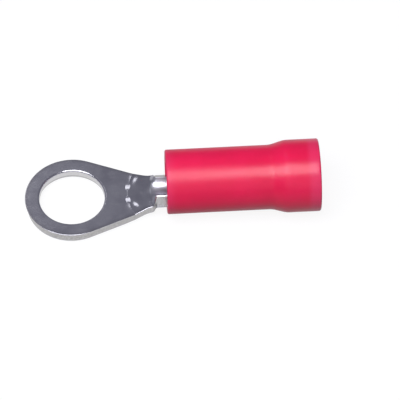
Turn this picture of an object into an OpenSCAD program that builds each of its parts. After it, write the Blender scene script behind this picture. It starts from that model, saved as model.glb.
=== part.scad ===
// Insulated ring terminal for a stud and a light-gauge stranded wire.
// Frame: origin on the stud hole's axis, at the underside of the ring, where it seats.
// +Z runs along the stud hole, towards the side that the wire barrel stands on.
// +X runs from the stud hole to the wire entry. Sizes are in millimetres.

/* [Ring tongue] */
// Diameter of the stud hole
stud_hole_d = 4.3; // [3.2:0.1:5.3]
// Width of the metal around the stud hole
ring_w = 0.95; // [0.8:0.05:1.3]
// Thickness of the sheet that the terminal is stamped from
stock_t = 0.8; // [0.5:0.05:0.9]
// Angle between the tongue's tapering edge and its centre line
taper_angle = 22; // [20:1:26]
// Width of the neck between the tongue and the barrel
neck_w = 2.6; // [2.0:0.1:2.8]
// Radius that blends the tapering edge into the neck
neck_fillet_r = 1.5; // [0.5:0.1:2.5]
// Length of the straight neck, from the end of that blend to the sleeve
neck_len = 0.85; // [0.7:0.05:3]

/* [Joggle and roll] */
// Height that the neck is set up by, from the ring to the barrel
barrel_lift = 0.3; // [0:0.05:0.6]
// Distance from the ring's rim to the foot of the joggle
joggle_gap = 0.55; // [0.3:0.05:0.8]
// Length of the joggle along the neck
joggle_len = 1.65; // [1.0:0.05:1.8]
// How far the neck's edges trail its middle, which bows the crease
crease_bow = 0.45; // [0:0.05:0.6]
// Share of the joggle's length that is rounded at its foot, and again at its head
crease_share = 0.18; // [0.1:0.01:0.3]
// Length over which the flat neck curls to the barrel's curve
roll_len = 0.8; // [0.7:0.1:1.2]
// Length of the rolled trough that shows between the curling neck and the sleeve
trough_len = 0.6; // [0.3:0.05:0.8]
// Length over which the wings widen from the neck to a closed tube
wing_len = 0.9; // [0.5:0.1:1.2]

/* [Wire barrel] */
// Diameter of the bore that the stripped wire goes into
wire_bore_d = 1.7; // [1.4:0.1:2.3]
// Length of the closed tube
barrel_len = 4.8; // [3.5:0.1:6]
// Width of the butted seam along the top of the barrel
seam_gap = 0.05; // [0.02:0.01:0.15]
// Number of serration grooves around the inside of the bore
groove_count = 3; // [1:1:4]
// Width of a serration groove
groove_w = 0.3; // [0.1:0.05:0.4]
// Depth of a serration groove
groove_depth = 0.1; // [0.05:0.01:0.15]
// Distance between serration grooves
groove_pitch = 0.9; // [0.7:0.05:1.0]
// Size of the bevel that leads the wire into the bore
entry_bevel = 0.3; // [0.1:0.05:0.4]

/* [Insulation sleeve] */
// Radial clearance between the barrel and the sleeve that grips it
grip_clearance = 0.01; // [0.005:0.005:0.05]
// Wall of the sleeve around the barrel
sleeve_wall = 0.46; // [0.3:0.02:0.8]
// Length of sleeve that stands ahead of the barrel's mouth
sleeve_overhang = 1.0; // [0.9:0.05:1.2]
// Radial step from the sleeve's straight wall out to the flared wire entry
flare_rise = 0.27; // [0.15:0.01:0.5]
// Wall of the flared wire entry
flare_wall = 0.42; // [0.3:0.02:0.56]
// Length of the flare, from the end of its slope to the rear rim
flare_len = 2.25; // [1.2:0.05:4]
// Length of the slope that opens the sleeve into the flare
flare_slope = 0.95; // [0.6:0.05:1.2]
// Radius that blends the slope into the straight walls
flare_blend_r = 1.6; // [0.5:0.1:2]
// Height of the inner shoulder that the barrel stops against
shoulder_h = 0.5; // [0.2:0.05:0.6]
// Length of the inner shoulder's straight part
shoulder_len = 0.25; // [0.2:0.05:0.5]
// Length of the funnel that leads into the inner shoulder
funnel_len = 0.4; // [0.3:0.05:1]
// Length of straight bore between the funnel and the flare's slope
grip_len = 0.15; // [0.1:0.05:3]
// Radius of the sleeve's outer rims
rim_r = 0.12; // [0.05:0.01:0.15]

/* [Hidden] */
$fn = 96;
// Stations along the rolled neck, and strips across the sheet
stations = 42;
strips = 20;
// Steps in each small arc of the sleeve's profile
arc_steps = 8;
// Play at the stop shoulder, and the step where the rolled neck meets the barrel's skin
seat_gap = 0.02;
skin_step = 0.02;
// Overrun of a cutting tool past the face that it opens
over = 0.5;

ring_r = stud_hole_d / 2 + ring_w;
tangent_x = ring_r * sin(taper_angle);
tangent_y = ring_r * cos(taper_angle);
neck_corner_x = tangent_x + (tangent_y - neck_w / 2) / tan(taper_angle);
fillet_reach = neck_fillet_r * tan(taper_angle / 2);
fillet_end_x = neck_corner_x + fillet_reach;
fillet_start_x = neck_corner_x - fillet_reach * cos(taper_angle);
joggle_x = ring_r + joggle_gap;
// The flat tongue ends, and the formed neck begins, a little before the joggle
form_x = ring_r + joggle_gap / 5;
sleeve_x = fillet_end_x + neck_len;
mouth_x = sleeve_x + sleeve_overhang;
roll_end_x = sleeve_x - trough_len;
roll_start_x = roll_end_x - roll_len;
mid_r = (wire_bore_d + stock_t) / 2;
barrel_r = wire_bore_d / 2 + stock_t;
axis_z = barrel_lift + barrel_r;
barrel_end_x = mouth_x + barrel_len;
seat_r = barrel_r + grip_clearance;
sleeve_r = seat_r + sleeve_wall;
flare_r = sleeve_r + flare_rise;
flare_bore_r = flare_r - flare_wall;
shoulder_r = seat_r - shoulder_h;
shoulder_x = barrel_end_x + seat_gap;
funnel_x = shoulder_x + shoulder_len;
funnel_end_x = funnel_x + funnel_len;
slope_x = funnel_end_x + grip_len + slope_reach(seat_r, flare_bore_r);
flare_x = slope_x + flare_slope;
sleeve_end_x = flare_x + flare_len;

// 0 before a, 1 after b, and a smooth rise between them
function ease(a, b, x) = let (u = max(0, min(1, (x - a) / (b - a)))) u * u * (3 - 2 * u);

// 0 before a, 1 after b, and a straight ramp between them with both ends rounded by a share k
function ramp(a, b, k, x) =
    let (u = max(0, min(1, (x - a) / (b - a))))
    u < k ? u * u / (2 * k * (1 - k)) :
    u < 1 - k ? (u - k / 2) / (1 - k) :
    1 - (1 - u) * (1 - u) / (2 * k * (1 - k));

// Half the width of the flat blank at x: taper, fillet, neck, then the wings of the barrel
function blank_half(x) =
    x < fillet_start_x ? neck_w / 2 + (neck_corner_x - x) * tan(taper_angle) :
    x < fillet_end_x ? neck_w / 2 + neck_fillet_r
        - sqrt(neck_fillet_r * neck_fillet_r - pow(fillet_end_x - x, 2)) :
    neck_w / 2 + (closed_half - neck_w / 2) * ease(mouth_x - wing_len, mouth_x, x);
// Half the sheet's width where the wings butt, clear of the seam
closed_half = PI * mid_r - seam_gap;

// How far the sheet's edge trails its middle at the station u
function bow(u) = crease_bow * ease(form_x, joggle_x, u) * (1 - ease(roll_start_x, roll_end_x, u));
// Share of the barrel's curve that the sheet has taken up at the station u
function curl(u) = ease(roll_start_x, roll_end_x, u);
function lift(u) = barrel_lift * ramp(joggle_x, joggle_x + joggle_len, crease_share, u);
function sheet_t(u) = stock_t - 2 * skin_step * ease(sleeve_x, mouth_x, u);

// Point of the formed sheet: q runs -1 to 1 across it, side is 1 on the top skin and -1 underneath
function sheet_point(u, q, side) =
    let (x = u + bow(u) * q * q,
         s = q * blank_half(u + bow(u)),
         bend = s * curl(u) / mid_r,
         angle = bend * 180 / PI,
         flat = abs(curl(u)) < 0.001,
         y = flat ? s : mid_r / curl(u) * sin(angle),
         z = stock_t / 2 + lift(u) + (flat ? 0 : mid_r / curl(u) * (1 - cos(angle))),
         half_t = side * sheet_t(u) / 2)
    [x, y - half_t * sin(angle), z + half_t * cos(angle)];

// One closed section of the sheet: across the top skin and back along the underside
function section(u) = concat(
    [for (j = [0:strips]) sheet_point(u, 2 * j / strips - 1, 1)],
    [for (j = [strips:-1:0]) sheet_point(u, 2 * j / strips - 1, -1)]
);

// Quads that close one end of the loft, strip by strip
function end_cap(first, flip) = [
    for (j = [0:strips - 1])
        let (a = first + j, b = first + 2 * strips + 1 - j)
        flip ? [a, a + 1, b - 1, b] : [b, b - 1, a + 1, a]
];

// The neck: a loft of the bent sheet from the flat tongue, over the joggle, to the closed tube
module rolled_neck() {
    per_section = 2 * strips + 2;
    us = [for (i = [0:stations]) form_x + (mouth_x - form_x) * i / stations];
    points = [for (u = us) each section(u)];
    walls = [
        for (i = [0:stations - 1], j = [0:per_section - 1])
            let (a = i * per_section + j, b = i * per_section + (j + 1) % per_section)
            each [[a, a + per_section, b], [b, a + per_section, b + per_section]]
    ];
    caps = concat(end_cap(0, false), end_cap(stations * per_section, true));
    polyhedron(points, concat(walls, caps), convexity = 6);
}

// The flat ring and its tapering tongue, as it is punched from the sheet
module ring_tongue() {
    form_y = blank_half(form_x);
    difference() {
        linear_extrude(stock_t) union() {
            circle(ring_r);
            polygon([
                [0, 0], [tangent_x, -tangent_y], [form_x, -form_y],
                [form_x, form_y], [tangent_x, tangent_y]
            ]);
        }
        translate([0, 0, -over]) cylinder(h = stock_t + 2 * over, d = stud_hole_d);
    }
}

// A solid of revolution about the barrel's axis, from a profile drawn as [along X, radius]
module about_axis() {
    translate([0, 0, axis_z]) rotate([0, 90, 0]) rotate([0, 0, 90])
        rotate_extrude() rotate(90) mirror([0, 1]) children();
}

module wire_barrel() {
    groove_x = mouth_x + (barrel_len - (groove_count - 1) * groove_pitch) / 2;
    bore_r = wire_bore_d / 2;
    difference() {
        about_axis() difference() {
            translate([mouth_x, 0]) square([barrel_len, barrel_r]);
            translate([mouth_x - over, 0]) square([barrel_len + 2 * over, bore_r]);
            polygon([
                [barrel_end_x - entry_bevel, bore_r], [barrel_end_x, bore_r + entry_bevel],
                [barrel_end_x + over, bore_r + entry_bevel], [barrel_end_x + over, 0],
                [barrel_end_x - entry_bevel, 0]
            ]);
            for (i = [0:1:groove_count - 1])
                translate([groove_x + i * groove_pitch - groove_w / 2, 0])
                    square([groove_w, bore_r + groove_depth]);
        }
        translate([mouth_x - over, -seam_gap / 2, axis_z])
            cube([barrel_len + 2 * over, seam_gap, barrel_r + over]);
    }
}

module terminal() {
    color("silver") union() {
        ring_tongue();
        rolled_neck();
        wire_barrel();
    }
}

// Points of an arc about c, from angle a to angle b
function arc(c, r, a, b) = [
    for (i = [0:arc_steps]) let (t = a + (b - a) * i / arc_steps) c + r * [cos(t), sin(t)]
];

// Tilt of a wall that climbs from radius r0 to r1 over the slope, and how far its blends reach
function slope_tilt(r0, r1) = atan((r1 - r0) / flare_slope);
function slope_reach(r0, r1) = flare_blend_r * tan(slope_tilt(r0, r1) / 2);

// The line of that wall, with both corners blended
function slope_line(r0, r1) =
    let (tilt = slope_tilt(r0, r1), reach = slope_reach(r0, r1))
    concat(
        arc([slope_x - reach, r0 + flare_blend_r], flare_blend_r, -90, tilt - 90),
        arc([flare_x + reach, r1 - flare_blend_r], flare_blend_r, 90 + tilt, 90)
    );

function reversed(points) = [for (i = [len(points) - 1:-1:0]) points[i]];

module insulation_sleeve() {
    color("crimson") about_axis() polygon(concat(
        // Outside: front rim, straight wall, slope, flare, rear rim
        arc([sleeve_x + rim_r, sleeve_r - rim_r], rim_r, 180, 90),
        slope_line(sleeve_r, flare_r),
        arc([sleeve_end_x - rim_r, flare_r - rim_r], rim_r, 90, 0),
        arc([sleeve_end_x - rim_r, flare_bore_r + rim_r], rim_r, 0, -90),
        // Inside: flare, slope, insulation bore, funnel, shoulder, barrel seat, front rim
        reversed(slope_line(seat_r, flare_bore_r)),
        [
            [funnel_end_x, seat_r], [funnel_x, shoulder_r],
            [shoulder_x, shoulder_r], [shoulder_x, seat_r]
        ],
        arc([sleeve_x + rim_r, seat_r + rim_r], rim_r, -90, -180)
    ));
}

terminal();
insulation_sleeve();
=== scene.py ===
from math import atan2, cos, pi, radians, sin, tan

import bmesh
import bpy
import numpy as np
from mathutils import Matrix, Vector


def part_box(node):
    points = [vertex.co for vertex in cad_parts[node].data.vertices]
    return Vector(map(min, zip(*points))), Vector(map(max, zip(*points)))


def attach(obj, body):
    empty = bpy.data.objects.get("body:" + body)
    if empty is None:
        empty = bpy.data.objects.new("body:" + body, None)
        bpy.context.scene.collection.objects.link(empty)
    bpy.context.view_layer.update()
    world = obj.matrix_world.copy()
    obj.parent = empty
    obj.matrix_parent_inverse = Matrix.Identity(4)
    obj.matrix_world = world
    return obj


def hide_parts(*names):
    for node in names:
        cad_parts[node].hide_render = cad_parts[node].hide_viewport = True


# Insulated ring terminal: a tinned copper ring tongue, joggled and rolled into a crimp barrel, and
# a soft red vinyl sleeve over the barrel. The stud hole's axis is Z and the wire comes in along X.
# The shapes are worked out in millimetres and put into the meshes in metres.

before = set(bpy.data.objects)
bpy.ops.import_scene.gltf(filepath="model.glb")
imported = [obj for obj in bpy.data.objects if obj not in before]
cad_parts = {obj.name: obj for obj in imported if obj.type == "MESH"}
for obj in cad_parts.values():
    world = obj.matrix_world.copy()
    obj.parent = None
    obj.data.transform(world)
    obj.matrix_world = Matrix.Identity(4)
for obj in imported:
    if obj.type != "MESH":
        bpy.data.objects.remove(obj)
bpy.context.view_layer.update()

MM = 0.001

plate_low, plate_high = [[v / MM for v in corner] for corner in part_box("terminal")]
sleeve_low, sleeve_high = [[v / MM for v in corner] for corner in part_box("insulation_sleeve")]

# Flat blank, in millimetres
STOCK = 0.8
STUD_HOLE_R = 2.15
TAPER = radians(22.0)
NECK_HALF = 1.3
NECK_FILLET_R = 1.5
WING_LEN = 0.9
SEAM_GAP = 0.05

# Joggle, in millimetres. Forming starts at a share of the gap between the ring and the first
# crease. That crease is bowed, so its ends trail its middle. The second lies the head's length
# before the joggle's end.
JOGGLE_GAP = 0.55
FORMING_STARTS = 0.2
JOGGLE_LEN = 1.65
JOGGLE_HEAD = 0.15
CREASE_BOW = 0.45
CREASE_ROUND = 0.01
BARREL_LIFT = 0.3
# Its punch blunts the first crease in places: (Y, half the place's width, half its length along X).
BLUNT_SPOTS = (
    (0.62, 0.27, 0.15),
    (-0.47, 0.26, 0.15),
)
# It leaves dents behind the crease too, each of which tips the climb over a bell: (X past the
# crease, Y, half its length along X, half its width, its rise along X, its rise along Y).
DENTS = (
    (0.52, -0.9, 0.31, 0.27, -0.1, -0.065),
    (0.56, 1.14, 0.26, 0.4, -0.085, 0.06),
)

# Crimp barrel, in millimetres. A groove's walls start at a share of its half width.
ROLL_LEN = 0.8
TROUGH_LEN = 0.6
SLEEVE_OVERHANG = 1.0
WIRE_BORE_R = 0.85
GROOVE_COUNT = 3
GROOVE_W = 0.3
GROOVE_FLAT = 0.7
GROOVE_DEPTH = 0.1
GROOVE_PITCH = 0.9
ENTRY_BEVEL = 0.3

# Cut edges, in millimetres. The punch draws the upper rim over and cuts the edge clean for a while.
# Below that the sheet tears, and the edge falls back towards the underside. The outline tears from
# the rim down. The stud hole tears from half way, and its rim is drawn further. Rows of points
# follow an edge at shares of its height.
DRAWN_RIM_R = 0.035
HOLE_RIM_R = 0.1
CRISP_RIM_R = 0.025
# Width of the band along the outline that is darkened with painted shade
RIM_SHADE_W = 0.3
TEAR_SHARE = 1.0
HOLE_TEAR_SHARE = 0.5
TEAR_FALL = 0.12
EDGE_SHARES = (0.0, 0.25, 0.5, 0.75, 0.9, 1.0)

# Vinyl sleeve, in millimetres
GRIP_R = 1.66
SLEEVE_R = 2.12
SEAT_GAP = 0.02
SHOULDER_R = 1.16
SHOULDER_LEN = 0.25
FUNNEL_LEN = 0.4
FLARE_WALL = 0.42
FLARE_LEN = 2.25
FLARE_SLOPE = 0.95
FLARE_BLEND_R = 1.6
RIM_R = 0.12
INNER_RIM_R = 0.08

# How finely the surfaces are divided: counts, and lengths in millimetres
NECK_STATIONS = 140
CREASE_STATIONS = 80
CREASE_REACH = 0.3
TUBE_STATIONS = 70
TUBE_MARGIN = 0.02
PLACES_ACROSS = 81
TAPER_RAYS = 26
RING_RAYS = 150
WEB_STEPS = 12
RIM_STEPS = 6
RIM_MARGIN = 0.015
TURN_STEPS = 224
ARC_STEPS = 8
BLEND_STEPS = 12
LONGEST_STEP = 0.25
SLOPE_STEP = 0.01

# The least share of curl, the slack of an angle in radians, and the reach of merging in metres
LEAST_CURL = 1e-6
ANGLE_SLACK = 1e-9
MERGE_REACH = 2e-7

# Colours of the tin plate, of its edges and of the vinyl
PLATE_DULL = (0.585, 0.58, 0.66)
PLATE_BRIGHT = (0.665, 0.66, 0.735)
PLATE_RUBBED = (0.74, 0.735, 0.77)
# Painted shade: the darker tone of the band along the outline
PLATE_RIM_SHADE = (0.42, 0.41, 0.45)
CUT_CLEAN = (0.9, 0.89, 0.9)
TORN_DARK = (0.54, 0.53, 0.525)
TORN_LIGHT = (0.71, 0.7, 0.695)
VINYL_DEEP = (0.87, 0.006, 0.078)
VINYL_LIGHT = (0.94, 0.008, 0.094)
VINYL_SCUFFED = (0.94, 0.04, 0.13)
# Paler ends of the sleeve: painted light at the front end, and a paler rear end
VINYL_PALE_ENDS = (0.92, 0.045, 0.17)

# Patterns on the tin plate and the vinyl: (stretch on each axis, patches to the metre, detail,
# roughness)
TIN_CLOUDS = ((1.0, 1.0, 1.0), 620.0, 4.0, 0.6)
ROLLING_GRAIN = ((0.06, 1.0, 1.0), 21000.0, 3.0, 0.5)
RUBS = ((0.35, 1.0, 1.0), 3600.0, 7.0, 0.65)
TEAR_MARKS = ((1.0, 1.0, 0.12), 17000.0, 4.0, 0.6)
MOTTLING = ((1.0, 1.0, 1.0), 420.0, 3.0, 0.5)
DRAWN_LINES = ((0.08, 1.0, 1.0), 3000.0, 2.0, 0.5)
ORANGE_PEEL = ((1.0, 1.0, 1.0), 4200.0, 2.0, 0.5)
SCUFFS = ((0.5, 1.0, 1.0), 2300.0, 8.0, 0.7)

# What a pattern does: (from its value, to its value, what the first gives, what the second gives)
CLOUD_COLOUR = (0.35, 0.65, 0.0, 1.0)
CLOUD_ROUGHNESS = (0.3, 0.7, 0.145, 0.18)
RUB_COLOUR = (0.56, 0.75, 0.0, 0.3)
RUB_ROUGHNESS = (0.5, 0.75, 0.0, 0.04)
TEAR_COLOUR = (0.35, 0.65, 0.0, 1.0)
MOTTLE_COLOUR = (0.3, 0.7, 0.0, 1.0)
LINE_ROUGHNESS = (0.3, 0.7, 0.275, 0.305)
SCUFF_COLOUR = (0.6, 0.8, 0.0, 0.35)
SCUFF_ROUGHNESS = (0.55, 0.8, 0.0, 0.15)

# How far the painted shade darkens the band along the outline, and how much rougher the torn
# edge, the rolled sheet and the held front are
RIM_SHADE_SHARE = 0.5
TORN_ROUGHNESS = 0.06
ROLLED_ROUGHNESS = 0.2
HELD_ROUGHNESS = 0.1

# Depths of the fine relief, in metres
GRAIN_DEPTH = 0.15e-6
RUB_DEPTH = 0.5e-6
TEAR_DEPTH = 2.0e-6
LINE_DEPTH = 1.0e-6
PEEL_DEPTH = 5.0e-6

# Paler ends of the sleeve, the front one painted light: lengths in millimetres, how far each pales
FRONT_PAINTED_LIGHT_LEN = 0.8
FRONT_PAINTED_LIGHT = 0.5
PALE_REAR_LEN = 0.75
PALE_REAR_BLEND = 0.2
PALE_REAR_COLOUR = 0.6

# The light that sinks into the vinyl, with its reach in metres
VINYL_IOR = 1.5
SINKING_LIGHT = 0.15
SINKING_COLOURS = (1.0, 0.15, 0.2)
SINKING_REACH = 0.0005

# The floor in millimetres: its half width, and how far behind the slope's end it meets the flare
FLOOR_HALF = 400.0
FLOOR_PAST_SLOPE = 0.1

# Colours of the floor and the room, and the white that the camera and a mirror see on the floor
FLOOR_COLOUR = (0.12, 0.12, 0.13)
FLOOR_ROUGHNESS = 0.9
FLOOR_SEEN = 0.9
FLOOR_MIRRORED = 0.55
ROOM_COLOUR = (0.18, 0.18, 0.208)

# Soft boxes: (name, azimuth, elevation, distance, width, height, radiance), in degrees and metres
SOFT_BOXES = (
    ("key", -41.5, 68.4, 0.31, 0.245, 0.17, 6.5),
    ("fill", -3.0, 28.0, 0.3, 0.22, 0.22, 0.5),
    ("crease_glint", 193.5, 52.3, 0.6, 0.075, 0.075, 1.7),
)
LIT_POINT = (0.009, 0.0, 0.001)

# The camera, in degrees and metres, with its lens and sensor in millimetres
CAMERA_AZIMUTH = -3.3
CAMERA_ELEVATION = 53.68
CAMERA_ROLL = -0.15
CAMERA_DISTANCE = 0.2177
CAMERA_AIM = (0.008406, -0.000477, 0.000425)
LENS = 297.5
SENSOR_WIDTH = 36.0
NEAREST_SEEN = 0.01

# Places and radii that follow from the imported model, in millimetres
ring_r = -plate_low[0]
barrel_end_x = plate_high[0]
sleeve_x = sleeve_low[0]
sleeve_end_x = sleeve_high[0]
axis_z = (sleeve_low[2] + sleeve_high[2]) / 2.0
flare_r = (sleeve_high[2] - sleeve_low[2]) / 2.0

tangent_x = ring_r * sin(TAPER)
tangent_y = ring_r * cos(TAPER)
neck_corner_x = tangent_x + (tangent_y - NECK_HALF) / tan(TAPER)
fillet_reach = NECK_FILLET_R * tan(TAPER / 2.0)
fillet_end_x = neck_corner_x + fillet_reach
fillet_start_x = neck_corner_x - fillet_reach * cos(TAPER)
form_x = ring_r + JOGGLE_GAP * FORMING_STARTS
joggle_x = ring_r + JOGGLE_GAP
mouth_x = sleeve_x + SLEEVE_OVERHANG
roll_end_x = sleeve_x - TROUGH_LEN
roll_start_x = roll_end_x - ROLL_LEN
mid_r = WIRE_BORE_R + STOCK / 2.0
closed_half = pi * mid_r - SEAM_GAP
flare_x = sleeve_end_x - FLARE_LEN
slope_x = flare_x - FLARE_SLOPE
flare_bore_r = flare_r - FLARE_WALL
shoulder_x = barrel_end_x + SEAT_GAP


def ease(start, end, x):
    """0 before start, 1 after end, and 3u^2 - 2u^3 between them, where u is the way gone."""
    u = np.clip((x - start) / (end - start), 0.0, 1.0)
    return u * u * (3.0 - 2.0 * u)


def bend_line(off, half):
    """A line that turns from level to a slope of 1 over the half length to either side: 0, then the
    parabola (off + half)^2 / (4 half), then off."""
    turning = (off + half) ** 2 / (4.0 * half)
    return np.where(off < -half, 0.0, np.where(off > half, off, turning))


def joggle(u, y):
    """The joggle's lift: a climb between two creases. The first is two bends of half the slope
    each. A blunt place parts them by its half length, times e to the minus fourth power of the way
    from its middle over its half width."""
    blunt = 0.0
    for spot_y, half_w, half_len in BLUNT_SPOTS:
        blunt = blunt + half_len * np.exp(-((y - spot_y) / half_w) ** 4)
    foot, head = u - joggle_x, u - joggle_x - JOGGLE_LEN + JOGGLE_HEAD
    climb = (bend_line(foot + blunt, CREASE_ROUND) + bend_line(foot - blunt, CREASE_ROUND)) / 2.0
    return BARREL_LIFT * (climb - bend_line(head, CREASE_ROUND)) / (JOGGLE_LEN - JOGGLE_HEAD)


def dents(x, y):
    """The dents' height: about each one's middle, a slanting plane times a bell."""
    height = 0.0
    for dent_x, dent_y, half_len, half_w, rise_x, rise_y in DENTS:
        off_x, off_y = x - dent_x, y - dent_y
        bell = np.exp(-(off_x / half_len) ** 2 - (off_y / half_w) ** 2)
        height = height + (rise_x * off_x + rise_y * off_y) * bell
    return height


def blank_half(x):
    """Half the flat blank's width: a taper, then a fillet's arc, then the neck, then the wings'
    rise."""
    taper = NECK_HALF + (neck_corner_x - x) * tan(TAPER)
    reach = np.clip(fillet_end_x - x, 0.0, NECK_FILLET_R)
    fillet = NECK_HALF + NECK_FILLET_R - np.sqrt(NECK_FILLET_R ** 2 - reach ** 2)
    wings = NECK_HALF + (closed_half - NECK_HALF) * ease(mouth_x - WING_LEN, mouth_x, x)
    return np.where(x < fillet_start_x, taper, np.where(x < fillet_end_x, fillet, wings))


def edge_cosine(x):
    """Cosine of the angle between the blank's edge and its centre line: 1 / sqrt(1 + slope^2), with
    the slope taken over a short step."""
    slope = (blank_half(x + SLOPE_STEP) - blank_half(x - SLOPE_STEP)) / (2.0 * SLOPE_STEP)
    return 1.0 / np.sqrt(1.0 + slope ** 2)


def edge_bow(u):
    """How far the sheet's edges trail its middle: the crease's bow, eased in before it and out in
    the roll."""
    return CREASE_BOW * ease(form_x, joggle_x, u) * (1.0 - ease(roll_start_x, roll_end_x, u))


def formed_sheet(u, q):
    """Middle of the formed sheet and its normal. Across the sheet, q from -1 to 1 is bent to a
    circle whose radius is the barrel's over the share of curl. The joggle and the dents lift it
    all."""
    x = u + edge_bow(u) * q * q
    s = q * blank_half(u + edge_bow(u))
    curl = np.maximum(ease(roll_start_x, roll_end_x, u), LEAST_CURL)
    bend = s * curl / mid_r
    y = mid_r / curl * np.sin(bend)
    z = STOCK / 2.0 + joggle(u, y) + dents(x - joggle_x, y) * ease(form_x, joggle_x, u)
    z = z + mid_r / curl * (1.0 - np.cos(bend))
    middle = np.stack([x, y, z], axis=-1)
    normal = np.stack([np.zeros_like(bend), -np.sin(bend), np.cos(bend)], axis=-1)
    return middle, normal


def rim_insets(radius):
    """Distances from a cut edge at which its rim is modelled: r (1 - cos) over a quarter circle,
    and one more."""
    turn = np.linspace(0.0, pi / 2.0, RIM_STEPS)
    return np.append(radius * (1.0 - np.cos(turn)), radius + RIM_MARGIN)


def skin_height(inset, radius):
    """Height of a skin over the sheet's middle: half the stock, let down to the cut edge by a
    quarter circle."""
    lack = np.clip(radius - inset, 0.0, radius)
    return STOCK / 2.0 - radius + np.sqrt(radius ** 2 - lack ** 2)


def grid_faces(rows, columns, first=0, closed=False):
    """Quads over a grid of points laid row by row. A closed grid joins its last column to its
    first."""
    across = columns if closed else columns - 1
    r, c = np.meshgrid(np.arange(rows - 1), np.arange(across), indexing="ij")
    after = (c + 1) % columns
    near, far = r * columns, (r + 1) * columns
    quads = np.stack([near + c, near + after, far + after, far + c], axis=-1)
    return quads.reshape(-1, 4) + first


def put_mesh(name, parts, marks):
    """One closed mesh from several grids of points in millimetres, each (points, closed). Points
    that meet are merged and the faces are turned outwards. marks holds values for the finish: by
    name, an array for each grid."""
    points, quads, count = [], [], 0
    for grid, closed in parts:
        rows, columns = grid.shape[:2]
        quads.append(grid_faces(rows, columns, count, closed))
        points.append(grid.reshape(-1, 3))
        count += rows * columns
    mesh = bpy.data.meshes.new(name)
    mesh.from_pydata((np.concatenate(points) * MM).tolist(), [], np.concatenate(quads).tolist())
    for mark_name, grids in marks.items():
        layer = mesh.attributes.new(mark_name, "FLOAT", "POINT")
        values = np.concatenate([grid.reshape(-1) for grid in grids])
        layer.data.foreach_set("value", values.astype(np.float32))
    shell = bmesh.new()
    shell.from_mesh(mesh)
    bmesh.ops.remove_doubles(shell, verts=shell.verts, dist=MERGE_REACH)
    bmesh.ops.recalc_face_normals(shell, faces=shell.faces)
    shell.to_mesh(mesh)
    shell.free()
    mesh.polygons.foreach_set("use_smooth", np.ones(len(mesh.polygons), dtype=bool))
    mesh.update()
    piece = bpy.data.objects.new(name, mesh)
    bpy.context.scene.collection.objects.link(piece)
    return piece


def across_blank(u, fall):
    """Places q across the sheet at the station u, edge to edge: rim steps at both edges and even
    ones between. Both edges stand back by the fall."""
    width = (blank_half(u + edge_bow(u)) * edge_cosine(u + edge_bow(u)))[:, None]
    rim = 1.0 - (rim_insets(DRAWN_RIM_R)[None, :] + fall) / width
    inner = rim[:, -1:] * np.linspace(-1.0, 1.0, PLACES_ACROSS)[None, 1:-1]
    return np.concatenate([-rim, inner, rim[:, ::-1]], axis=1)


def neck_and_barrel(fall):
    """Middle, normal, inset and carved depth of the formed sheet on a grid of stations by places
    across. Its edges stand back by the fall, and grooves and an entry bevel are carved in its
    bore."""
    neck = np.linspace(form_x, mouth_x, NECK_STATIONS)
    crease = np.linspace(joggle_x - CREASE_REACH, joggle_x + CREASE_REACH, CREASE_STATIONS)
    tube = np.linspace(mouth_x, barrel_end_x - DRAWN_RIM_R - TUBE_MARGIN, TUBE_STATIONS)
    end = barrel_end_x - rim_insets(CRISP_RIM_R)[::-1]
    u = np.unique(np.concatenate([neck, crease, tube, end]))
    q = across_blank(u, fall)
    u = u[:, None] + np.zeros_like(q)
    middle, normal = formed_sheet(u, q)
    edge_u = u + edge_bow(u)
    side_inset = (1.0 - np.abs(q)) * blank_half(edge_u) * edge_cosine(edge_u) - fall
    inset = np.clip(np.minimum(side_inset, barrel_end_x - u), 0.0, None)
    first = (mouth_x + barrel_end_x - (GROOVE_COUNT - 1) * GROOVE_PITCH) / 2.0
    carved = np.clip(u - (barrel_end_x - ENTRY_BEVEL), 0.0, ENTRY_BEVEL)
    for k in range(GROOVE_COUNT):
        off = np.abs(u - first - k * GROOVE_PITCH) / (GROOVE_W / 2.0)
        carved = carved + GROOVE_DEPTH * (1.0 - ease(GROOVE_FLAT, 1.0, off))
    return middle, normal, inset, carved


def ring_and_tongue(join_y, fall, hole_fall):
    """Middle, normal and insets of the flat ring and tongue: rays run from the stud hole out to the
    outline, which is the ring's arc, the tapering edges, and the line where the formed neck takes
    over. The outline and the hole's edge stand back by their falls. The insets are the distances
    from those two edges."""
    ring = ring_r - fall
    hole = STUD_HOLE_R + hole_fall
    corner = np.arctan2(join_y[-1], form_x)
    tangent = pi / 2.0 - TAPER
    taper = np.linspace(corner, tangent, TAPER_RAYS)[1:]
    round_ring = np.linspace(tangent, 2.0 * pi - tangent, RING_RAYS)[1:]
    taper_back = np.append(2.0 * pi - taper[::-1][1:], 2.0 * pi - corner)
    theta = np.concatenate([np.arctan2(join_y, form_x), taper, round_ring, taper_back])
    turned = np.abs(np.mod(theta + pi, 2.0 * pi) - pi)
    to_taper = ring / np.cos(turned - tangent)
    to_join = form_x / np.cos(turned)
    beside_join = turned >= corner - ANGLE_SLACK
    reach = np.where(turned >= tangent, ring, np.where(beside_join, to_taper, to_join))
    slant = np.where(turned >= tangent, 1.0, np.cos(turned - tangent))
    hole_rim = hole + rim_insets(HOLE_RIM_R)[None, :] + 0.0 * reach[:, None]
    outer_rim = reach[:, None] - rim_insets(DRAWN_RIM_R)[None, ::-1] / slant[:, None]
    share = np.linspace(0.0, 1.0, WEB_STEPS)[None, 1:-1]
    web = hole_rim[:, -1:] * (1.0 - share) + outer_rim[:, :1] * share
    rho = np.concatenate([hole_rim, web, outer_rim], axis=1)
    x = rho * np.cos(theta)[:, None]
    y = rho * np.sin(theta)[:, None]
    from_taper = ring - (x * sin(TAPER) + np.abs(y) * cos(TAPER))
    from_outline = np.where((turned >= tangent)[:, None], ring - rho, from_taper)
    middle = np.stack([x, y, np.full_like(x, STOCK / 2.0)], axis=-1)
    normal = np.zeros_like(middle)
    normal[..., 2] = 1.0
    return middle, normal, np.clip(from_outline, 0.0, None), np.clip(rho - hole, 0.0, None)


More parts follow.
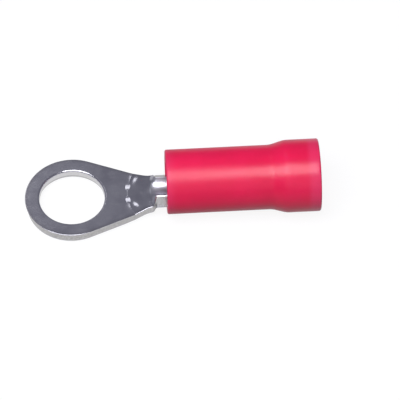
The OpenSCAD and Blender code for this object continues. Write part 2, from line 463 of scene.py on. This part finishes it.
def edge_rows(grids, low, high, place):
    """The cut edge between the two skins, along one border of the sheet. Each row lies at its share
    of the height from the lower skin's rim to the upper's, on the grid whose edges stand back for
    that row."""
    share = np.array(EDGE_SHARES)[:, None]
    height = low[place][None, :] * (1.0 - share) + high[place][None, :] * share
    middle = np.stack([grid[0][place] for grid in grids])
    normal = np.stack([grid[1][place] for grid in grids])
    return middle + normal * height[..., None]


def falls(tear_share):
    """How far the edge stands back at each row: nothing where it is cut clean, then evenly more
    towards the underside."""
    return [TEAR_FALL * max(1.0 - share / tear_share, 0.0) for share in EDGE_SHARES]


def make_terminal():
    """The whole pressing: both skins of the neck and barrel, both skins of the ring and tongue, and
    the cut edges between them. Marks for the finish say where an edge is cut or torn, where
    painted shade darkens a band along the outline, and how far the sheet is rolled."""
    formed = [neck_and_barrel(fall) for fall in falls(TEAR_SHARE)]
    flat = [
        ring_and_tongue(grid[0][0, :, 1], fall, hole_fall)
        for grid, fall, hole_fall in zip(formed, falls(TEAR_SHARE), falls(HOLE_TEAR_SHARE))
    ]
    joined = formed[0][0].shape[1]
    parts, sheets = [], []
    marks = {"cut_edge": [], "torn_edge": [], "painted_rim_shade": [], "rolled": []}
    for grids in (formed, flat):
        # A grid holds its middle, its normal, its distance from the outline, and last the barrel's
        # carved depth or the ring's distance from the stud hole.
        under, upper = grids[0], grids[-1]
        if grids is formed:
            low = -skin_height(under[2], CRISP_RIM_R)
            high = skin_height(upper[2], DRAWN_RIM_R) - upper[3]
        else:
            low = -skin_height(np.minimum(under[2], under[3]), CRISP_RIM_R)
            high = np.minimum(skin_height(upper[2], DRAWN_RIM_R), skin_height(upper[3], HOLE_RIM_R))
        for skin, height in ((under, low), (upper, high)):
            parts.append(skin[0] + skin[1] * height[..., None])
            marks["cut_edge"].append(0.0 * height)
            marks["torn_edge"].append(0.0 * height)
            # Painted shade: a darker band along the outline, on both skins
            marks["painted_rim_shade"].append(1.0 - ease(0.0, RIM_SHADE_W, skin[2]))
            marks["rolled"].append(ease(roll_start_x, roll_end_x, skin[0][..., 0]))
        sheets.append((grids, low, high))
    borders = [
        (sheets[0], np.s_[:, 0], TEAR_SHARE),
        (sheets[0], np.s_[:, -1], TEAR_SHARE),
        (sheets[0], np.s_[-1], TEAR_SHARE),
        (sheets[1], np.s_[:, 0], HOLE_TEAR_SHARE),
        (sheets[1], np.s_[joined - 1:, -1], TEAR_SHARE),
    ]
    for (grids, low, high), place, tear_share in borders:
        rows = edge_rows(grids, low, high, place)
        whole = np.ones(rows.shape[:2])
        torn = np.array([1.0 if fall > 0.0 else 0.0 for fall in falls(tear_share)])[:, None]
        parts.append(rows)
        marks["cut_edge"].append(whole)
        marks["torn_edge"].append(whole * torn)
        marks["painted_rim_shade"].append(0.0 * whole)
        marks["rolled"].append(0.0 * whole)
    return put_mesh("tinned_terminal", [(grid, False) for grid in parts], marks)


def arc(centre, radius, start, end, steps=ARC_STEPS):
    """Points [along X, radius] of a circle's arc, from one angle to another in degrees."""
    turn = np.radians(np.linspace(start, end, steps + 1))
    return np.stack([centre[0] + radius * np.cos(turn), centre[1] + radius * np.sin(turn)], axis=-1)


def slope_line(r0, r1):
    """A wall that climbs from radius r0 to r1 over the flare's slope, with an arc at its foot and
    its head."""
    tilt = np.degrees(np.arctan((r1 - r0) / FLARE_SLOPE))
    reach = FLARE_BLEND_R * tan(radians(tilt) / 2.0)
    foot_centre = [slope_x - reach, r0 + FLARE_BLEND_R]
    head_centre = [flare_x + reach, r1 - FLARE_BLEND_R]
    foot = arc(foot_centre, FLARE_BLEND_R, -90.0, tilt - 90.0, BLEND_STEPS)
    head = arc(head_centre, FLARE_BLEND_R, 90.0 + tilt, 90.0, BLEND_STEPS)
    return np.concatenate([foot, head])


def fill_gaps(profile, longest):
    """The same closed line with straight runs cut into even steps no longer than that."""
    after = np.roll(profile, -1, axis=0)
    steps = np.maximum(np.ceil(np.linalg.norm(after - profile, axis=1) / longest).astype(int), 1)
    share = np.concatenate([np.arange(n) / n for n in steps])[:, None]
    here, there = np.repeat(profile, steps, axis=0), np.repeat(after, steps, axis=0)
    return here * (1.0 - share) + there * share


def make_sleeve():
    """The sleeve's wall as one closed profile turned about the barrel's axis: outside from the
    front rim over the slope and flare to the rear rim, then back inside over the funnel, the stop
    shoulder and the seat."""
    profile = np.concatenate([
        arc([sleeve_x + RIM_R, SLEEVE_R - RIM_R], RIM_R, 180.0, 90.0),
        slope_line(SLEEVE_R, flare_r),
        arc([sleeve_end_x - RIM_R, flare_r - RIM_R], RIM_R, 90.0, 0.0),
        arc([sleeve_end_x - RIM_R, flare_bore_r + RIM_R], RIM_R, 0.0, -90.0),
        slope_line(GRIP_R, flare_bore_r)[::-1],
        [[shoulder_x + SHOULDER_LEN + FUNNEL_LEN, GRIP_R]],
        [[shoulder_x + SHOULDER_LEN, SHOULDER_R]],
        [[shoulder_x + INNER_RIM_R, SHOULDER_R]],
        [[shoulder_x, SHOULDER_R + INNER_RIM_R]],
        [[shoulder_x, GRIP_R]],
        arc([sleeve_x + RIM_R, GRIP_R + RIM_R], RIM_R, -90.0, -180.0),
    ])
    profile = fill_gaps(profile, LONGEST_STEP)
    turn = np.linspace(0.0, 2.0 * pi, TURN_STEPS, endpoint=False)[None, :]
    radius = profile[:, 1:2]
    x = profile[:, 0:1] + 0.0 * turn
    grid = np.stack([x, radius * np.sin(turn), axis_z + radius * np.cos(turn)], axis=-1)
    grid = np.concatenate([grid, grid[:1]])
    return put_mesh("vinyl_sleeve", [(grid, True)], {})


def new_finish(name):
    """A material with its node tree and its Principled shader."""
    finish = bpy.data.materials.new(name)
    finish.use_nodes = True
    return finish, finish.node_tree, finish.node_tree.nodes["Principled BSDF"]


def place_pattern(tree, stretch):
    """Object coordinates through a Mapping node, which stretches a pattern along the piece."""
    where = tree.nodes.new("ShaderNodeTexCoord")
    mapping = tree.nodes.new("ShaderNodeMapping")
    mapping.inputs["Scale"].default_value = stretch
    tree.links.new(where.outputs["Object"], mapping.inputs["Vector"])
    return mapping.outputs["Vector"]


def noise(tree, stretch, scale, detail, roughness):
    """Noise on the piece, from 0 to 1. The scale counts patches to the metre."""
    texture = tree.nodes.new("ShaderNodeTexNoise")
    texture.inputs["Scale"].default_value = scale
    texture.inputs["Detail"].default_value = detail
    texture.inputs["Roughness"].default_value = roughness
    tree.links.new(place_pattern(tree, stretch), texture.inputs["Vector"])
    return texture.outputs["Fac"]


def rerange(tree, value, low, high, to_low, to_high):
    """The value's span from low to high, carried over to another span and held at its ends."""
    node = tree.nodes.new("ShaderNodeMapRange")
    node.interpolation_type = "SMOOTHSTEP"
    node.inputs["From Min"].default_value = low
    node.inputs["From Max"].default_value = high
    node.inputs["To Min"].default_value = to_low
    node.inputs["To Max"].default_value = to_high
    tree.links.new(value, node.inputs["Value"])
    return node.outputs["Result"]


def combine(tree, operation, first, second):
    """Two values put together by one operation. The second may be a plain number."""
    node = tree.nodes.new("ShaderNodeMath")
    node.operation = operation
    tree.links.new(first, node.inputs[0])
    if isinstance(second, float):
        node.inputs[1].default_value = second
    else:
        tree.links.new(second, node.inputs[1])
    return node.outputs["Value"]


def blend_colour(tree, share, first, second):
    """A colour between two, by a share. Each is a colour or another node's output."""
    node = tree.nodes.new("ShaderNodeMix")
    node.data_type = "RGBA"
    tree.links.new(share, node.inputs["Factor"])
    for socket, colour in ((node.inputs[6], first), (node.inputs[7], second)):
        if isinstance(colour, tuple):
            socket.default_value = colour + (1.0,)
        else:
            tree.links.new(colour, socket)
    return node.outputs[2]


def raise_surface(tree, height, depth, under=None):
    """A bump of that depth in metres from a height of 0 to 1, over another bump if one is given."""
    bump = tree.nodes.new("ShaderNodeBump")
    bump.inputs["Strength"].default_value = 1.0
    bump.inputs["Distance"].default_value = depth
    tree.links.new(height, bump.inputs["Height"])
    if under is not None:
        tree.links.new(under, bump.inputs["Normal"])
    return bump.outputs["Normal"]


def mark(tree, name):
    """A value that the mesh carries for its finish."""
    node = tree.nodes.new("ShaderNodeAttribute")
    node.attribute_name = name
    return node.outputs["Fac"]


def tinned_copper():
    """Satin tin plate: rolling grain along the blank, soft clouds in the tin, fine rubs from
    handling, painted shade in a band along the outline, a duller skin where the sheet is rolled,
    and edges that are cut clean above and torn dull below."""
    finish, tree, shader = new_finish("tinned_copper_plate")
    clouds = noise(tree, *TIN_CLOUDS)
    grain = noise(tree, *ROLLING_GRAIN)
    rubs = noise(tree, *RUBS)
    tear = noise(tree, *TEAR_MARKS)
    torn = mark(tree, "torn_edge")
    plate = blend_colour(tree, rerange(tree, clouds, *CLOUD_COLOUR), PLATE_DULL, PLATE_BRIGHT)
    rubbed = blend_colour(tree, rerange(tree, rubs, *RUB_COLOUR), plate, PLATE_RUBBED)
    # Painted shade: the band along the outline is blended towards a darker tone
    wear_and_rim_shade = combine(tree, "MULTIPLY", mark(tree, "painted_rim_shade"), RIM_SHADE_SHARE)
    rim_shaded = blend_colour(tree, wear_and_rim_shade, rubbed, PLATE_RIM_SHADE)
    ragged = blend_colour(tree, rerange(tree, tear, *TEAR_COLOUR), TORN_DARK, TORN_LIGHT)
    edge = blend_colour(tree, torn, CUT_CLEAN, ragged)
    colour = blend_colour(tree, mark(tree, "cut_edge"), rim_shaded, edge)
    tree.links.new(colour, shader.inputs["Base Color"])
    satin = rerange(tree, clouds, *CLOUD_ROUGHNESS)
    rolled = combine(tree, "MULTIPLY", mark(tree, "rolled"), ROLLED_ROUGHNESS)
    dulled = combine(tree, "ADD", satin, rolled)
    handled = combine(tree, "ADD", dulled, rerange(tree, rubs, *RUB_ROUGHNESS))
    rough = combine(tree, "ADD", handled, combine(tree, "MULTIPLY", torn, TORN_ROUGHNESS))
    tree.links.new(rough, shader.inputs["Roughness"])
    grained = raise_surface(tree, grain, GRAIN_DEPTH)
    scratched = raise_surface(tree, rubs, RUB_DEPTH, grained)
    pitted = raise_surface(tree, combine(tree, "MULTIPLY", tear, torn), TEAR_DEPTH, scratched)
    tree.links.new(pitted, shader.inputs["Normal"])
    shader.inputs["Metallic"].default_value = 1.0
    return finish


def red_vinyl():
    """Soft glossy vinyl: faint mottling of the colour, drawing lines along the sleeve, a fine
    orange peel, dull scuffs, a duller front that the fingers hold, painted light that pales the
    front end, and a paler band at the rear end."""
    finish, tree, shader = new_finish("red_vinyl")
    mottle = noise(tree, *MOTTLING)
    drawn = noise(tree, *DRAWN_LINES)
    peel = noise(tree, *ORANGE_PEEL)
    scuffs = noise(tree, *SCUFFS)
    where = tree.nodes.new("ShaderNodeSeparateXYZ")
    tree.links.new(place_pattern(tree, (1.0, 1.0, 1.0)), where.inputs["Vector"])
    along = where.outputs["X"]
    start, end = sleeve_x * MM, sleeve_end_x * MM
    # Painted light: the colour is paled over the sleeve's front end
    front = rerange(tree, along, start, start + FRONT_PAINTED_LIGHT_LEN * MM, FRONT_PAINTED_LIGHT, 0.0)
    pale_x, blend = end - PALE_REAR_LEN * MM, PALE_REAR_BLEND * MM
    rear = rerange(tree, along, pale_x - blend, pale_x + blend, 0.0, PALE_REAR_COLOUR)
    body = blend_colour(tree, rerange(tree, mottle, *MOTTLE_COLOUR), VINYL_DEEP, VINYL_LIGHT)
    wear_and_rim_shade = blend_colour(tree, rerange(tree, scuffs, *SCUFF_COLOUR), body, VINYL_SCUFFED)
    # The paler ends: painted light at the front, a paler band at the rear
    pale_ends = blend_colour(tree, combine(tree, "ADD", front, rear), wear_and_rim_shade, VINYL_PALE_ENDS)
    tree.links.new(pale_ends, shader.inputs["Base Color"])
    held = rerange(tree, along, start, end, HELD_ROUGHNESS, 0.0)
    sheen = combine(tree, "ADD", rerange(tree, drawn, *LINE_ROUGHNESS), held)
    rough = combine(tree, "ADD", sheen, rerange(tree, scuffs, *SCUFF_ROUGHNESS))
    tree.links.new(rough, shader.inputs["Roughness"])
    lined = raise_surface(tree, drawn, LINE_DEPTH)
    tree.links.new(raise_surface(tree, peel, PEEL_DEPTH, lined), shader.inputs["Normal"])
    shader.inputs["Subsurface Weight"].default_value = SINKING_LIGHT
    shader.inputs["Subsurface Radius"].default_value = SINKING_COLOURS
    shader.inputs["Subsurface Scale"].default_value = SINKING_REACH
    shader.inputs["IOR"].default_value = VINYL_IOR
    return finish


def pale_floor():
    """Pale matt floor. The camera and anything that mirrors it see it white, but for the part's
    shadow."""
    finish, tree, shader = new_finish("pale_floor")
    shader.inputs["Base Color"].default_value = FLOOR_COLOUR + (1.0,)
    shader.inputs["Roughness"].default_value = FLOOR_ROUGHNESS
    shader.inputs["Specular IOR Level"].default_value = 0.0
    path = tree.nodes.new("ShaderNodeLightPath")
    seen = combine(tree, "MULTIPLY", path.outputs["Is Camera Ray"], FLOOR_SEEN)
    mirrored = combine(tree, "MULTIPLY", path.outputs["Is Glossy Ray"], FLOOR_MIRRORED)
    shader.inputs["Emission Color"].default_value = (1.0, 1.0, 1.0, 1.0)
    tree.links.new(combine(tree, "ADD", seen, mirrored), shader.inputs["Emission Strength"])
    return finish


def make_floor():
    """A flat floor that the part rests on: it falls evenly from the ring's tip to the underside of
    the flare."""
    fall = sleeve_low[2] / (flare_x + FLOOR_PAST_SLOPE + ring_r)
    ends = (-FLOOR_HALF, FLOOR_HALF)
    corners = np.array([[x, y, (x + ring_r) * fall] for x in ends for y in ends])
    mesh = bpy.data.meshes.new("floor")
    mesh.from_pydata((corners * MM).tolist(), [], [(0, 2, 3, 1)])
    mesh.materials.append(pale_floor())
    floor = bpy.data.objects.new("floor", mesh)
    bpy.context.scene.collection.objects.link(floor)


def direction(azimuth, elevation):
    """Unit vector towards a place seen at that azimuth, 0 from the front and 90 from the wire end,
    in degrees."""
    a, e = radians(azimuth), radians(elevation)
    return Vector((sin(a) * cos(e), -cos(a) * cos(e), sin(e)))


def make_light(name, azimuth, elevation, distance, width, height, radiance):
    """A soft box of that width and height, level along X and leant over the part's middle. Its
    power gives the radiance asked for."""
    lamp = bpy.data.lights.new(name, "AREA")
    lamp.shape = "RECTANGLE"
    lamp.size = width
    lamp.size_y = height
    lamp.energy = radiance * pi * width * height
    box = bpy.data.objects.new(name, lamp)
    bpy.context.scene.collection.objects.link(box)
    aim = direction(azimuth, elevation)
    box.location = Vector(LIT_POINT) + aim * distance
    box.rotation_euler = (atan2(-aim.y, aim.z), 0.0, 0.0)


def make_camera():
    """A long lens, high in front of the part, rolled a little so that the sleeve climbs to the
    right."""
    lens = bpy.data.cameras.new("camera")
    lens.lens = LENS
    lens.sensor_width = SENSOR_WIDTH
    lens.clip_start = NEAREST_SEEN
    camera = bpy.data.objects.new("camera", lens)
    bpy.context.scene.collection.objects.link(camera)
    about = Matrix.Rotation(radians(CAMERA_AZIMUTH), 4, "Z")
    lean = Matrix.Rotation(radians(90.0 - CAMERA_ELEVATION), 4, "X")
    roll = Matrix.Rotation(radians(CAMERA_ROLL), 4, "Z")
    back = direction(CAMERA_AZIMUTH, CAMERA_ELEVATION) * CAMERA_DISTANCE
    camera.matrix_world = Matrix.Translation(Vector(CAMERA_AIM) + back) @ about @ lean @ roll
    bpy.context.scene.camera = camera


def make_world():
    """A dim, slightly cool room all round."""
    world = bpy.data.worlds.new("room")
    world.use_nodes = True
    world.node_tree.nodes["Background"].inputs["Color"].default_value = ROOM_COLOUR + (1.0,)
    bpy.context.scene.world = world


terminal = make_terminal()
terminal.data.materials.append(tinned_copper())
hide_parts("terminal")
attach(terminal, "root")

sleeve = make_sleeve()
sleeve.data.materials.append(red_vinyl())
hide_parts("insulation_sleeve")
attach(sleeve, "root")

make_floor()
make_world()
for soft_box in SOFT_BOXES:
    make_light(*soft_box)
make_camera()
bpy.context.scene.view_settings.view_transform = "Standard"
